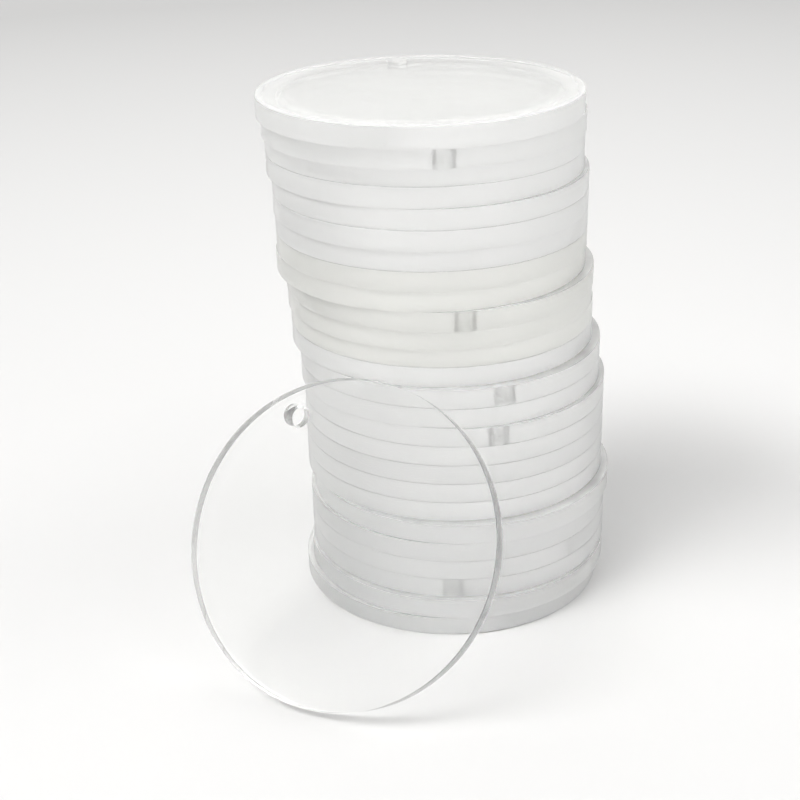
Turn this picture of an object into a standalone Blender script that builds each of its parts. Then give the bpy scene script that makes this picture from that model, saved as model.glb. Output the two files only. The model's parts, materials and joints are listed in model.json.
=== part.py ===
"""A stack of clear acrylic hanging discs, with one more disc leaning on its front.

Every disc is the same flat blank cut from clear sheet, with one small hole near its rim to hang it by.
Metres, +Z up. The stack's front is -Y and its right is +X, and the floor is Z = 0.
Run with: blender --background --python part.py
"""
import math

import bmesh
import bpy
from mathutils import Euler, Matrix, Vector

MM = 0.001

# Driving dimensions
DISC_DIAMETER = 50.8 * MM        # two inches
DISC_THICKNESS = 3.0 * MM        # nominal one-eighth inch sheet
HOLE_DIAMETER = 3.4 * MM
HOLE_EDGE_WALL = 2.2 * MM        # acrylic left between the hole and the rim
GAP = 0.28 * MM                  # air film between two discs
PITCH = DISC_THICKNESS + GAP
RIM_SEGMENTS = 64
HOLE_SEGMENTS = 16
HOLE_RADIUS_FROM_CENTRE = DISC_DIAMETER / 2 - HOLE_EDGE_WALL - HOLE_DIAMETER / 2

# How the stack was put up: how many discs lie flush, and how far they sit right and back of the bottom disc
STACK_RUNS = (
    (1, 0.0, 0.0),
    (1, 1.0, 0.0),
    (3, 1.2, 1.2),
    (1, 1.8, 1.2),
    (5, 0.8, 2.9),
    (2, -0.1, 3.1),
    (2, -1.4, 4.3),
    (1, -1.7, 3.4),
    (1, -1.7, 2.4),
    (1, -3.2, 2.5),
    (2, -3.0, 2.0),
    (2, -3.1, 1.2),
    (2, -3.9, 1.2),
    (1, -4.1, -1.5),
    (1, -4.6, -3.1),
)

# Which way each hole looks: degrees from +X. Those not named are turned away, to the back right or the back left by
# turns, each a further step on, where the curved rim of a clear disc hides them from the front.
HOLES_IN_SIGHT = {2: -18, 3: -94, 4: -36, 11: -75, 13: -70, 14: -19, 17: -82, 20: -21, 25: -84, 26: 99}
BACK_RIGHT_FROM, BACK_LEFT_FROM, BACK_SPAN, BACK_STEP = 14, 126, 40, 17

# The leaning disc: where it stands, measured right and back from the bottom disc's centre
LEAN_TURN = math.radians(-26)    # its face looks forward and to the left
LEAN_TILT = math.radians(32.5)   # from upright, back onto the stack
LEAN_FOOT = (-23.7 * MM, -44.4 * MM)
LEAN_HOLE = math.radians(124)    # round its face from its own right-hand side

NAME = "acrylic_disc_stack"


def clear_scene():
    for obj in list(bpy.data.objects):
        bpy.data.objects.remove(obj, do_unlink=True)


def new_collection(name):
    collection = bpy.data.collections.new(name)
    bpy.context.scene.collection.children.link(collection)
    return collection


def clear_acrylic():
    material = bpy.data.materials.new("clear_acrylic")
    material.use_nodes = True
    shader = material.node_tree.nodes["Principled BSDF"]
    shader.inputs["Base Color"].default_value = (0.96, 0.97, 0.97, 1)
    shader.inputs["Roughness"].default_value = 0.03
    shader.inputs["Metallic"].default_value = 0
    shader.inputs["Transmission Weight"].default_value = 1
    shader.inputs["IOR"].default_value = 1.49
    return material


def cylinder_mesh(name, radius, depth, segments):
    """An upright cylinder standing on Z = 0, with one rim corner on each axis."""
    bm = bmesh.new()
    bmesh.ops.create_cone(bm, cap_ends=True, cap_tris=False, segments=segments, radius1=radius,
                          radius2=radius, depth=depth, matrix=Matrix.Translation((0, 0, depth / 2)))
    mesh = bpy.data.meshes.new(name)
    bm.to_mesh(mesh)
    bm.free()
    return mesh


def blank_mesh(cutters, material):
    """The disc every piece is a copy of: standing on Z = 0, its hole on +X."""
    disc = bpy.data.objects.new("blank", cylinder_mesh("blank", DISC_DIAMETER / 2, DISC_THICKNESS, RIM_SEGMENTS))
    drill = bpy.data.objects.new("hole_cutter", cylinder_mesh(
        "hole_cutter", HOLE_DIAMETER / 2, DISC_THICKNESS * 3, HOLE_SEGMENTS))
    drill.location = (HOLE_RADIUS_FROM_CENTRE, 0, -DISC_THICKNESS)
    drill.hide_render = True
    drill.display_type = "WIRE"
    for obj in (disc, drill):
        cutters.objects.link(obj)
    cut = disc.modifiers.new("hole", "BOOLEAN")
    cut.operation = "DIFFERENCE"
    cut.solver = "EXACT"
    cut.object = drill
    bpy.context.view_layer.update()
    evaluated = disc.evaluated_get(bpy.context.evaluated_depsgraph_get())
    mesh = bpy.data.meshes.new_from_object(evaluated)
    mesh.name = "disc"
    bpy.data.objects.remove(disc, do_unlink=True)
    mesh.shade_smooth()
    mesh.set_sharp_from_angle(angle=math.radians(30))
    mesh.materials.clear()
    mesh.materials.append(material)
    return mesh


def stack_places():
    """Right and back shift of each stacked disc, bottom one first."""
    return [(right * MM, back * MM) for count, right, back in STACK_RUNS for _ in range(count)]


def hole_direction(number):
    if number in HOLES_IN_SIGHT:
        return math.radians(HOLES_IN_SIGHT[number])
    side = BACK_LEFT_FROM if number % 2 else BACK_RIGHT_FROM
    return math.radians(side + (BACK_STEP * number) % BACK_SPAN)


def add_empty(name, collection, location, rotation=(0, 0, 0)):
    empty = bpy.data.objects.new(name, None)
    empty.empty_display_size = 0.01
    empty.location = location
    empty.rotation_euler = rotation
    collection.objects.link(empty)
    return empty


def add_disc(name, mesh, collection, parent, location, rotation):
    disc = bpy.data.objects.new(name, mesh)
    disc.parent = parent
    disc.location = location
    disc.rotation_euler = rotation
    collection.objects.link(disc)
    return disc


def build_stack(mesh, collection, base):
    discs = []
    for number, (right, back) in enumerate(stack_places(), start=1):
        discs.append(add_disc(f"disc_{number:02d}", mesh, collection, base,
                              (right, back, (number - 1) * PITCH), (0, 0, hole_direction(number))))
    return discs


def tip_pole():
    """The line about which one turn takes the leaning disc from where it leans to flat on the floor in front.

    It stands on its back lower edge at first and ends on its whole front face. Forward and up from the foot.
    """
    turn = math.pi / 2 + LEAN_TILT
    cot = 1 / math.tan(turn / 2)
    return DISC_THICKNESS / 2 * (1 + cot), DISC_THICKNESS / 2 * (1 - cot)


def build_leaning(mesh, collection, base):
    """The leaning disc hangs on an empty that lies on its hinge line."""
    forward = Vector((math.sin(LEAN_TURN), -math.cos(LEAN_TURN), 0))
    ahead, up = tip_pole()
    foot = Vector((*LEAN_FOOT, 0))
    hinge = add_empty("lean_hinge", collection, foot + forward * ahead + Vector((0, 0, up)), (0, 0, LEAN_TURN))
    hinge.parent = base

    # In the hinge's own axes forward is -Y. The disc's +Z looks forward and up, out of its front face.
    stand = Euler((math.pi / 2 - LEAN_TILT, 0, 0)).to_matrix().to_4x4()
    foot_in_hinge = Vector((0, ahead, -up))
    centre = foot_in_hinge + stand @ Vector((0, DISC_DIAMETER / 2, 0))
    rotation = (stand @ Matrix.Rotation(LEAN_HOLE, 4, "Z")).to_euler()
    return add_disc("leaning_disc", mesh, collection, hinge, centre, rotation)


def centre_on_origin(base, discs):
    """Shifts everything so that the origin is under the middle of the whole group."""
    bpy.context.view_layer.update()
    corners = [disc.matrix_world @ vertex.co for disc in discs for vertex in disc.data.vertices]
    for axis in range(2):
        values = [corner[axis] for corner in corners]
        base.location[axis] -= (min(values) + max(values)) / 2
    base.location[2] -= min(corner[2] for corner in corners)
    bpy.context.view_layer.update()


def main():
    clear_scene()
    parts = new_collection(NAME)
    cutters = new_collection(NAME + "_cutters")
    cutters.hide_render = True
    mesh = blank_mesh(cutters, clear_acrylic())
    base = add_empty("stack_base", parts, (0, 0, 0))
    discs = build_stack(mesh, parts, base)
    discs.append(build_leaning(mesh, parts, base))
    centre_on_origin(base, discs)


main()
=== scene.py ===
"""Looks of the clear acrylic disc stack: flat discs cut from clear sheet, on a pale floor in soft light."""

import json
import math

import bmesh
import bpy
from mathutils import Matrix, Vector


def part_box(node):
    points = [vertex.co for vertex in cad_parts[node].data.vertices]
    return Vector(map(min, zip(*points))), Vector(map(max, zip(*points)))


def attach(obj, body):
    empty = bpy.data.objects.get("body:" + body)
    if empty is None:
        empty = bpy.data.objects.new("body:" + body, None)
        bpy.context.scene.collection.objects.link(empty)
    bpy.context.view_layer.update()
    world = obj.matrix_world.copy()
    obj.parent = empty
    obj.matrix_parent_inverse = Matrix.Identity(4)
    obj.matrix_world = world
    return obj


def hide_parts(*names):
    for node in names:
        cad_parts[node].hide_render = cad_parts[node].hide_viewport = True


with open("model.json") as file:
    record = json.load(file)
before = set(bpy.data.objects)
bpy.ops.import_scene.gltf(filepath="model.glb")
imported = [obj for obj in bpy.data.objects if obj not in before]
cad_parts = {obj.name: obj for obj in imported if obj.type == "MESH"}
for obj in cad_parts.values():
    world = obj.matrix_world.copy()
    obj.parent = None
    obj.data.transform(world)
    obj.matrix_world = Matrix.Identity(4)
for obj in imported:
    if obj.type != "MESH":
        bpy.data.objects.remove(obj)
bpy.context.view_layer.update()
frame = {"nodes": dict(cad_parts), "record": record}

MM = 0.001

# --- shape of a cut blank ---
EDGE_ROUND = 0.05 * MM      # the tiny round that cutting and handling leave on a cut edge
EDGE_STEPS = 3
WALL_RINGS = (0.45, 0.0, -0.45)     # heights of the rings down a cut wall, as shares of half the thickness
RIM_SEGMENTS = 288
HOLE_SEGMENTS = 64
HOLE_ZONE = 0.94            # CAD points nearer the axis than this share of the radius belong to the hole
AIR_FILM = 0.03 * MM        # what is left between two discs that lie on each other
INSET = 0.03 * MM           # the CAD rim is a polygon, so the true circle is kept a hair inside its box
FLAT_AXIS = 0.999           # a disc lies flat when its axis points up by more than this

# --- marks in the acrylic: noise with a scale per mm along each of the disc's axes ---
NOISE_STEP = 7.3            # how far apart in the noise two discs are
NOISE_LOW, NOISE_HIGH = 0.3, 0.7    # where most of the noise lies
HAZE_SCALE, HAZE_DETAIL = (0.22, 0.22, 0.0), 3.0
HAZE_FROM, HAZE_FULL = 0.45, 0.75
PATCH_SCALE, PATCH_DETAIL = (0.35, 0.35, 0.2), 2.0
STRIA_SCALE, STRIA_DETAIL = (1.5, 1.5, 0.15), 2.0
HOLE_MARK_SCALE, HOLE_MARK_DETAIL = (2.0, 2.0, 0.1), 2.0
MARK_DEPTH = 0.010 * MM

# --- clear cast acrylic. Frost is the share of light that is scattered and not let through ---
ACRYLIC_COLOUR = (0.997, 0.999, 0.996, 1)
ACRYLIC_IOR = 1.49
FACE_ROUGH = 0.0
HAZE_ROUGH = 0.03           # what the handling haze adds to a face's roughness
CLEAN_HAZE_ROUGH = 0.01
FACE_FROST = 0.04
CLEAN_FACE_FROST = 0.02
FUME_FROST = 0.52           # the white haze that cutting leaves on the faces, by the rim
FUME_WIDTH = 5.0            # mm
FUME_LEAST = 0.8            # the fume haze at its thinnest, as a share of its full strength
WALL_ROUGH = 0.292
WALL_ROUGH_VARIES = 0.05    # up and down from WALL_ROUGH, as a share of it
WALL_FROST = 0.26
CLEAR_WALL_ROUGH = 0.02     # the leaning disc's rim, wiped clean
CLEAR_WALL_FROST = 0.03
HOLE_ROUGH_LOW, HOLE_ROUGH_HIGH = 0.02, 0.08
HOLE_FROST = 0.20
GREYER_RIMS = (1, 3, 5, 9, 17, 19)
WARMER_RIMS = tuple(range(15, 20))
GREYER_TONE = 0.965
WARMER_TONE = (1.0, 1.0, 0.975)

# --- floor: white paper, with painted shade that makes it greyer away from the stack ---
# the grey far from the stack is painted shade, in place of the light falling off, not the paper's own colour
FLOOR_WHITE, FLOOR_SHADED_GREY = 0.775, 0.485
FLOOR_NEAR, FLOOR_FAR = 0.10, 0.65
FLOOR_ROUGH = 0.6
FLOOR_REACH = 4.0           # from its middle to its edge
FLOOR_CELLS = 20
FLOOR_HEIGHT = -0.0002      # just under the lowest disc

# --- light: the room's even level, and soft patches on it. Each patch is degrees round from straight behind,
# --- degrees up, the angles within which it is full and beyond which it is gone, and its level. A level below
# --- zero takes light away. The levels were first worked out by another program, a least-squares fit of
# --- renders to the photograph, and rounded. Those of the room, two of the key window's patches and two of
# --- the right wall's were then changed.
ROOM_LEVEL = 0.76
ROOM_LEAST = 0.02
ROOM_COLOUR = (1.0, 0.995, 0.985, 1)
KEY_WINDOW = (
    (215, 50, 4, 12, 3.7),
    (235, 50, 4, 12, 12.8),
    (255, 50, 4, 12, 8.8),
    (225, 65, 4, 12, 2.2),
)
RIGHT_WALL = (
    (90, 12, 5, 35, 1.0),
    (135, 12, 5, 35, 0.90),
    (90, 45, 5, 32, 0.28),
    (135, 45, 5, 32, 0.13),
    (80, 35, 4, 12, 1.2),
)
DARK_LEFT = (
    (225, 12, 5, 35, -0.40),
    (270, 12, 5, 35, -0.12),
    (270, 45, 5, 32, -0.30),
)
DARK_BACK_RIGHT = (
    (45, 12, 5, 35, -0.21),
    (45, 45, 5, 32, -0.27),
)
KEY_GLOW = (225, 45, 5, 32, 0.38)
BACK_WALL = (0, 12, 5, 35, 0.22)
DARK_CEILING = (0, 90, 5, 35, -0.45)
ROOM_PATCHES = KEY_WINDOW + RIGHT_WALL + DARK_LEFT + DARK_BACK_RIGHT + (KEY_GLOW, BACK_WALL, DARK_CEILING)

# --- camera: its place, angles and lens come from a fit to the discs' outlines, by another program ---
CAMERA_AT = Vector((-1.19, -212.53, 132.12)) * MM
CAMERA_DOWN = math.radians(24.40)
CAMERA_ROLL = math.radians(-1.375)
LENS = 64.37
SENSOR_WIDTH = 36.0
CLIP_NEAR, CLIP_FAR = 0.01, 20

# --- how often light is followed through the stack ---
CLEAR_BOUNCES = 64
DIFFUSE_BOUNCES = 6


# ---------------------------------------------------------------- measuring the frame
def node_points(node):
    return [v.co.copy() for v in frame["nodes"][node].data.vertices]


def flat_normal(node):
    """The direction that a disc's two flat faces look along, upwards."""
    total = {}
    for p in frame["nodes"][node].data.polygons:
        n = p.normal if p.normal.z >= 0 else -p.normal
        key = tuple(round(c, 2) for c in n)
        area, vector = total.get(key, (0.0, Vector()))
        total[key] = (area + p.area, vector + n * p.area)
    return max(total.values(), key=lambda t: t[0])[1].normalized()


def measure(node):
    """A disc's centre, axis, hole and sizes, from its CAD solid.

    Its rim is an even polygon, so its middle is halfway along any direction.
    """
    points = node_points(node)
    axis = flat_normal(node)
    across = axis.orthogonal().normalized()
    spans = [(d, [p.dot(d) for p in points]) for d in (across, axis.cross(across), axis)]
    centre = sum((d * (min(h) + max(h)) / 2 for d, h in spans), Vector())
    flat = [p - centre - axis * (p - centre).dot(axis) for p in points]
    radius = max(p.length for p in flat)
    hole = [p for p in flat if p.length < HOLE_ZONE * radius]
    hole_at = sum(hole, Vector()) / len(hole)
    return {
        "centre": centre,
        "axis": axis,
        "hole_direction": hole_at.normalized(),
        "hole_distance": hole_at.length,
        "hole_radius": max((p - hole_at).length for p in hole),
        "radius": radius,
        "thickness": max(spans[2][1]) - min(spans[2][1]),
    }


def lies_flat(size):
    return size["axis"].z > FLAT_AXIS


# ---------------------------------------------------------------- one disc's mesh
def edge_profile(radius, half, sign):
    """Points (distance from the axis, height) down one cut wall, with a small round at each edge.

    sign is 1 for a rim and -1 for a hole.
    """
    corner = [math.pi / 2 * k / EDGE_STEPS for k in range(EDGE_STEPS + 1)]
    inward = [sign * EDGE_ROUND * (1 - math.sin(a)) for a in corner]
    down = [EDGE_ROUND * (1 - math.cos(a)) for a in corner]
    top = [(radius - i, half - d) for i, d in zip(inward, down)]
    middle = [(radius, share * half) for share in WALL_RINGS]
    return top + middle + [(d, -h) for d, h in reversed(top)]


def ring(bm, distance, height, offset, segments):
    turns = [2 * math.pi * k / segments for k in range(segments)]
    return [bm.verts.new((offset + distance * math.cos(t), distance * math.sin(t), height)) for t in turns]


def wall(bm, rings, slot):
    for upper, lower in zip(rings, rings[1:]):
        for k in range(len(upper)):
            after = (k + 1) % len(upper)
            f = bm.faces.new((upper[k], lower[k], lower[after], upper[after]))
            f.smooth = True
            f.material_index = slot


def rim_tone(number):
    """The colour of a disc's cut rim: some are a touch greyer than the rest, and some a touch warmer."""
    grey = GREYER_TONE if number in GREYER_RIMS else 1.0
    warm = WARMER_TONE if number in WARMER_RIMS else (1.0, 1.0, 1.0)
    return [full * grey * w for full, w in zip(ACRYLIC_COLOUR, warm)]


def disc_mesh(name, size, number):
    """A round plate with one hole, in its place, its underside let down by size["seat"] onto what is below.

    Face slots: 0 sheet faces, 1 the rim's cut wall, 2 the hole's. The attributes disc_mm and disc_number hold
    each point's place on the disc, in mm, and which disc it is, so that no two discs carry the same marks.
    rim_tone is the rim's colour.
    """
    bm = bmesh.new()
    half = (size["thickness"] + size["seat"]) / 2
    rim_profile = edge_profile(size["radius"] - INSET, half, 1)
    hole_profile = edge_profile(size["hole_radius"], half, -1)
    outer = [ring(bm, d, h, 0.0, RIM_SEGMENTS) for d, h in rim_profile]
    inner = [ring(bm, d, h, size["hole_distance"], HOLE_SEGMENTS) for d, h in hole_profile]
    wall(bm, outer, 1)
    wall(bm, inner, 2)
    for end in (0, -1):
        loops = (outer[end], inner[end])
        edges = [bm.edges.get((loop[k - 1], loop[k])) for loop in loops for k in range(len(loop))]
        filled = bmesh.ops.triangle_fill(bm, use_beauty=True, use_dissolve=False, edges=edges)["geom"]
        for face in (g for g in filled if isinstance(g, bmesh.types.BMFace)):
            face.smooth = False
            face.material_index = 0
    bmesh.ops.recalc_face_normals(bm, faces=bm.faces)
    mesh = bpy.data.meshes.new(name)
    bm.to_mesh(mesh)
    bm.free()
    mesh.attributes.new("disc_mm", "FLOAT_VECTOR", "POINT")
    mesh.attributes.new("disc_number", "FLOAT", "POINT")
    mesh.attributes.new("rim_tone", "FLOAT_VECTOR", "POINT")
    places, numbers, tones = (mesh.attributes[key].data for key in ("disc_mm", "disc_number", "rim_tone"))
    for v in mesh.vertices:
        places[v.index].vector = v.co / MM
        numbers[v.index].value = number
        tones[v.index].vector = rim_tone(number)
    x, z = size["hole_direction"], size["axis"]
    turn = Matrix((x, z.cross(x), z)).transposed().to_4x4()
    mesh.transform(Matrix.Translation(size["centre"] - z * size["seat"] / 2) @ turn)
    return mesh


# ---------------------------------------------------------------- materials
class Nodes:
    """A small helper that makes a material's nodes."""

    def __init__(self, name):
        self.material = bpy.data.materials.new(name)
        self.material.use_nodes = True
        self.tree = self.material.node_tree
        self.tree.nodes.clear()

    def node(self, kind, settings=None, **inputs):
        made = self.tree.nodes.new(kind)
        for key, value in (settings or {}).items():
            setattr(made, key, value)
        for key, value in inputs.items():
            socket = made.inputs[key.replace("_", " ")]
            if isinstance(value, bpy.types.NodeSocket):
                self.tree.links.new(value, socket)
            else:
                socket.default_value = value
        return made

    def math(self, operation, *values):
        made = self.tree.nodes.new("ShaderNodeMath")
        made.operation = operation
        for socket, value in zip(made.inputs, values):
            if isinstance(value, bpy.types.NodeSocket):
                self.tree.links.new(value, socket)
            else:
                socket.default_value = value
        return made.outputs[0]

    def feed(self, value, made, key):
        """Connects a value to one of a node's inputs."""
        self.tree.links.new(value, made.inputs[key])

    def spread(self, value, low, high, to_low, to_high):
        """Moves a value from the range low to high onto the range to_low to to_high."""
        made = self.node("ShaderNodeMapRange", {"clamp": True}, Value=value)
        for key, number in (("From Min", low), ("From Max", high), ("To Min", to_low), ("To Max", to_high)):
            made.inputs[key].default_value = number
        return made.outputs[0]

    def on_disc(self, stretch):
        """The place on the disc, in mm, stretched along the disc's own axes."""
        place = self.node("ShaderNodeAttribute", {"attribute_name": "disc_mm"})
        scaled = self.node("ShaderNodeVectorMath", {"operation": "MULTIPLY"})
        self.feed(place.outputs["Vector"], scaled, 0)
        scaled.inputs[1].default_value = stretch
        return scaled.outputs[0]

    def noise(self, stretch, detail):
        """Marks that differ from disc to disc, at a scale per mm along each of the disc's axes."""
        number = self.node("ShaderNodeAttribute", {"attribute_name": "disc_number"}).outputs["Fac"]
        which = self.math("MULTIPLY", number, NOISE_STEP)
        marks = self.node("ShaderNodeTexNoise", {"noise_dimensions": "4D"}, Vector=self.on_disc(stretch),
                          W=which, Scale=1.0, Detail=detail, Roughness=0.5)
        return marks.outputs[0]


def acrylic(name, frost):
    m = Nodes(name)
    shader = m.node("ShaderNodeBsdfPrincipled", Base_Color=ACRYLIC_COLOUR, IOR=ACRYLIC_IOR,
                    Transmission_Weight=1.0 - frost)
    m.node("ShaderNodeOutputMaterial", Surface=shader.outputs[0])
    return m, shader


def polished_face(name, frost, haze_rough):
    """Polished sheet face with faint handling haze, which adds up to haze_rough to its roughness."""
    m, shader = acrylic(name, frost)
    haze = m.noise(HAZE_SCALE, HAZE_DETAIL)
    m.feed(m.spread(haze, HAZE_FROM, HAZE_FULL, FACE_ROUGH, FACE_ROUGH + haze_rough), shader, "Roughness")
    return m, shader, haze


def clean_face_material():
    """Polished sheet face without the fumes' haze."""
    return polished_face("acrylic_clean_face", CLEAN_FACE_FROST, CLEAN_HAZE_ROUGH)[0].material


def face_material():
    """Polished sheet face, with a whiter haze by the rim where the cutter's fumes settled."""
    m, shader, haze = polished_face("acrylic_face", FACE_FROST, HAZE_ROUGH)
    out = m.node("ShaderNodeVectorMath", {"operation": "LENGTH"})
    m.feed(m.on_disc((1, 1, 0)), out, 0)
    by_rim = m.spread(out.outputs["Value"], DISC_RADIUS / MM - FUME_WIDTH, DISC_RADIUS / MM, 0.0, 1.0)
    fume = m.math("MULTIPLY", by_rim, m.spread(haze, NOISE_LOW, NOISE_HIGH, FUME_LEAST, 1.0))
    m.feed(m.spread(fume, 0.0, 1.0, 1.0 - FACE_FROST, 1.0 - FUME_FROST), shader, "Transmission Weight")
    return m.material


def wall_material(name, roughness, frost):
    """Cut wall: faint upright striations, and a roughness that differs a little from place to place."""
    m, shader = acrylic(name, frost)
    tone = m.node("ShaderNodeAttribute", {"attribute_name": "rim_tone"})
    m.feed(tone.outputs["Vector"], shader, "Base Color")
    low, high = (roughness * (1 + side * WALL_ROUGH_VARIES) for side in (-1, 1))
    patches = m.noise(PATCH_SCALE, PATCH_DETAIL)
    m.feed(m.spread(patches, NOISE_LOW, NOISE_HIGH, low, high), shader, "Roughness")
    striations = m.noise(STRIA_SCALE, STRIA_DETAIL)
    upright = m.node("ShaderNodeBump", Height=striations, Strength=1.0, Distance=MARK_DEPTH)
    m.feed(upright.outputs[0], shader, "Normal")
    return m.material


def hole_material():
    """The wall of the small hole: smoother than the rim, with a few upright marks."""
    m, shader = acrylic("acrylic_hole_wall", HOLE_FROST)
    marks = m.noise(HOLE_MARK_SCALE, HOLE_MARK_DETAIL)
    m.feed(m.spread(marks, NOISE_LOW, NOISE_HIGH, HOLE_ROUGH_LOW, HOLE_ROUGH_HIGH), shader, "Roughness")
    upright = m.node("ShaderNodeBump", Height=marks, Strength=1.0, Distance=MARK_DEPTH)
    m.feed(upright.outputs[0], shader, "Normal")
    return m.material


def floor_material():
    """Matt white paper, with painted shade that makes it a little greyer away from the stack, in place of the
    light falling off.
    """
    m = Nodes("floor_paper_painted_falloff")
    place = m.node("ShaderNodeTexCoord").outputs["Object"]
    distance = m.node("ShaderNodeVectorMath", {"operation": "LENGTH"})
    m.feed(place, distance, 0)
    tone = m.spread(distance.outputs["Value"], FLOOR_NEAR, FLOOR_FAR, FLOOR_WHITE, FLOOR_SHADED_GREY)
    colour = m.node("ShaderNodeCombineColor", Red=tone, Green=tone, Blue=tone)
    shader = m.node("ShaderNodeBsdfPrincipled", Base_Color=colour.outputs[0], Roughness=FLOOR_ROUGH)
    m.node("ShaderNodeOutputMaterial", Surface=shader.outputs[0])
    return m.material


# ---------------------------------------------------------------- build
body_of = {node: body for body, nodes in frame["record"]["behaviour"]["bodies"].items() for node in nodes}
sizes = {node: measure(node) for node in sorted(frame["nodes"])}
DISC_RADIUS = max(size["radius"] for size in sizes.values())
hole_wall = hole_material()
cut = [face_material(), wall_material("acrylic_cut_wall", WALL_ROUGH, WALL_FROST), hole_wall]
wiped_wall = wall_material("acrylic_wiped_wall", CLEAR_WALL_ROUGH, CLEAR_WALL_FROST)
wiped = [clean_face_material(), wiped_wall, hole_wall]
below = None
for number, (node, size) in enumerate(sizes.items(), 1):
    size["seat"] = 0.0
    if below is not None and lies_flat(size):
        size["seat"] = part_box(node)[0].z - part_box(below)[1].z - AIR_FILM
    below = node
    mesh = disc_mesh(node + "_acrylic", size, number)
    for finish in (cut if lies_flat(size) else wiped):
        mesh.materials.append(finish)
    piece = bpy.data.objects.new(node + "_acrylic", mesh)
    bpy.context.scene.collection.objects.link(piece)
    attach(piece, body_of[node])
    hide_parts(node)


# ---------------------------------------------------------------- floor
def lay_floor():
    bm = bmesh.new()
    bmesh.ops.create_grid(bm, x_segments=FLOOR_CELLS, y_segments=FLOOR_CELLS, size=FLOOR_REACH)
    mesh = bpy.data.meshes.new("floor")
    bm.to_mesh(mesh)
    bm.free()
    mesh.materials.append(floor_material())
    floor = bpy.data.objects.new("floor", mesh)
    floor.location = (0, 0, FLOOR_HEIGHT)
    bpy.context.scene.collection.objects.link(floor)


lay_floor()


# ---------------------------------------------------------------- light
class Sky(Nodes):
    """The room, as light from each direction."""

    def __init__(self):
        world = bpy.data.worlds.new("soft_room")
        bpy.context.scene.world = world
        world.use_nodes = True
        self.tree = world.node_tree
        self.tree.nodes.clear()

    def towards(self, turn, up, near, far, level):
        """A soft patch of light, full within near and gone beyond far, round a direction: all in degrees."""
        turn, up, near, far = (math.radians(angle) for angle in (turn, up, near, far))
        direction = (math.sin(turn) * math.cos(up), math.cos(turn) * math.cos(up), math.sin(up))
        facing = self.node("ShaderNodeVectorMath", {"operation": "DOT_PRODUCT"})
        self.feed(self.node("ShaderNodeTexCoord").outputs["Generated"], facing, 0)
        facing.inputs[1].default_value = direction
        patch = self.node("ShaderNodeMapRange", {"interpolation_type": "SMOOTHSTEP"},
                          Value=facing.outputs["Value"], From_Min=math.cos(far), From_Max=math.cos(near),
                          To_Min=0.0, To_Max=level)
        return patch.outputs[0]


def room_light():
    """A pale room: brighter on the right and behind, dimmer above, on the left and at the back right.

    The key light is a soft window high at the front left.
    """
    sky = Sky()
    level = ROOM_LEVEL
    for patch in ROOM_PATCHES:
        level = sky.math("ADD", sky.towards(*patch), level)
    strength = sky.math("MAXIMUM", level, ROOM_LEAST)
    background = sky.node("ShaderNodeBackground", Color=ROOM_COLOUR, Strength=strength)
    sky.node("ShaderNodeOutputWorld", Surface=background.outputs[0])


room_light()


# ---------------------------------------------------------------- camera
def place_camera():
    data = bpy.data.cameras.new("camera")
    data.sensor_width = SENSOR_WIDTH
    data.lens = LENS
    data.clip_start = CLIP_NEAR
    data.clip_end = CLIP_FAR
    camera = bpy.data.objects.new("camera", data)
    bpy.context.scene.collection.objects.link(camera)
    forward = Vector((0, math.cos(CAMERA_DOWN), -math.sin(CAMERA_DOWN)))
    sideways = Vector((1, 0, 0))
    upright = sideways.cross(forward)
    right = sideways * math.cos(CAMERA_ROLL) + upright * math.sin(CAMERA_ROLL)
    up = upright * math.cos(CAMERA_ROLL) - sideways * math.sin(CAMERA_ROLL)
    camera.matrix_world = Matrix.Translation(CAMERA_AT) @ Matrix((right, up, -forward)).transposed().to_4x4()
    bpy.context.scene.camera = camera


place_camera()

# ---------------------------------------------------------------- how light is followed through the stack
scene = bpy.context.scene
scene.view_settings.view_transform = "Standard"
scene.cycles.max_bounces = CLEAR_BOUNCES
scene.cycles.transmission_bounces = CLEAR_BOUNCES
scene.cycles.glossy_bounces = CLEAR_BOUNCES
scene.cycles.transparent_max_bounces = CLEAR_BOUNCES
scene.cycles.diffuse_bounces = DIFFUSE_BOUNCES
scene.cycles.blur_glossy = 0.0

bpy.context.view_layer.update()
